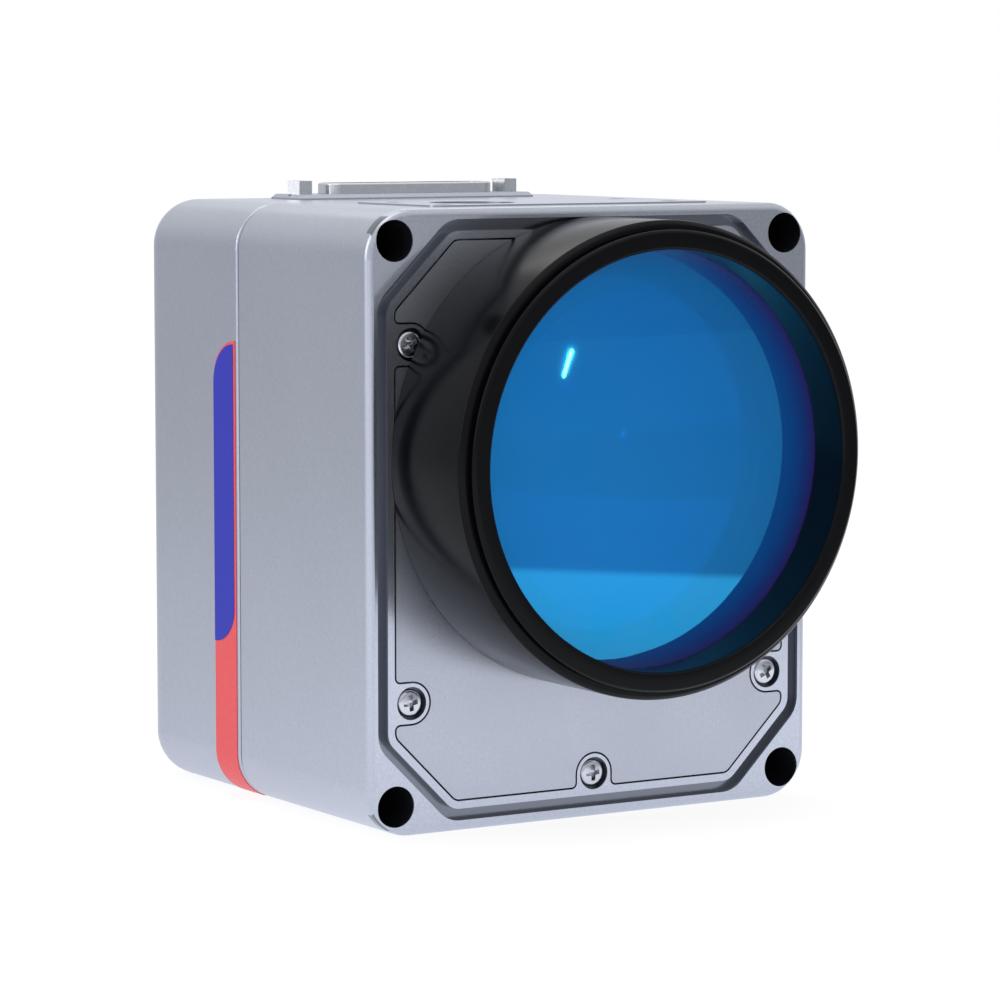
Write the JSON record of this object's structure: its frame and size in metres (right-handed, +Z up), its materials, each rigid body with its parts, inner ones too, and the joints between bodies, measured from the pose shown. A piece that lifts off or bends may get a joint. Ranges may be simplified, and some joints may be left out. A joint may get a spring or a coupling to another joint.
{
  "type": "galvo scanner head",
  "caption": "Two-axis galvo scanner head: split grey housing, screw-in f-theta lens, top beam entry, D connector, two motors that turn the mirrors inside",
  "frame": {"origin": "centre of the housing's bottom face", "axes": "+Z up, the lens looks along -Y, +X is to the right seen from the lens side"},
  "size_m": [0.0972, 0.1157, 0.1176],
  "materials": {
    "housing_paint": "fine textured powder coat",
    "plate_paint": "smooth semi-gloss paint",
    "black_rubber": "matte",
    "black_steel": "black oxide",
    "zinc_steel": "bright zinc plate",
    "tinned_steel": "bright tin plate",
    "bearing_steel": "ground",
    "black_anodised": "satin black anodise",
    "bare_aluminium": "machined",
    "coated_glass": "blue anti-reflection coating",
    "mirror_coating": "polished",
    "black_plastic": "moulded",
    "white_plastic": "moulded",
    "capacitor_sleeve": "shrunk sleeve",
    "green_board": "solder resist",
    "gold_contact": "plated",
    "label_red": "printed film",
    "label_blue": "printed film"
  },
  "bodies": {
    "head": {"front_housing": "housing_paint", "rear_cover": "housing_paint", "seam_gasket": "black_rubber", "case_screws": "black_steel", "lens_plate": "plate_paint", "plate_screws": "zinc_steel", "lens_barrel": "black_anodised", "lens_front_ring": "black_anodised", "lens_front_glass": "coated_glass", "lens_mid_glass": "coated_glass", "lens_rear_glass": "coated_glass", "lens_front_spacer": "black_anodised", "lens_rear_spacer": "black_anodised", "lens_rear_retainer": "black_anodised", "connector_shell": "tinned_steel", "connector_insulator": "black_plastic", "connector_contacts": "gold_contact", "connector_jackscrews": "tinned_steel", "label_red": "label_red", "label_blue": "label_blue", "galvo_block": "bare_aluminium", "galvo_block_screws": "black_steel", "motor_clamp_screws": "black_steel", "front_driver_board": "green_board", "rear_driver_board": "green_board", "board_standoffs": "gold_contact", "board_screws": "zinc_steel", "driver_capacitors": "capacitor_sleeve", "power_transistors": "black_plastic", "heat_bar": "bare_aluminium", "board_headers": "white_plastic", "interface_board": "green_board", "interface_header": "white_plastic", "x_motor_body": "black_anodised", "x_bearings": "bearing_steel", "x_sensor_cap": "bare_aluminium", "y_motor_body": "black_anodised", "y_bearings": "bearing_steel", "y_sensor_cap": "bare_aluminium"},
    "x_rotor": {"x_shaft": "bearing_steel", "x_mirror": "mirror_coating", "x_mirror_mount": "bare_aluminium"},
    "y_rotor": {"y_shaft": "bearing_steel", "y_mirror": "mirror_coating", "y_mirror_mount": "bare_aluminium"}
  },
  "joints": [
    {"name": "x_mirror_turn", "type": "hinge", "parent": "head", "child": "x_rotor", "pos_m": [-0.0134, -0.0233, 0.0685], "axis": [0, 1, 0], "range_deg": [-12.5, 12.5]},
    {"name": "y_mirror_turn", "type": "hinge", "parent": "head", "child": "y_rotor", "pos_m": [0, -0.0233, 0.0685], "axis": [0, 0, 1], "range_deg": [-12.5, 12.5]}
  ]
}
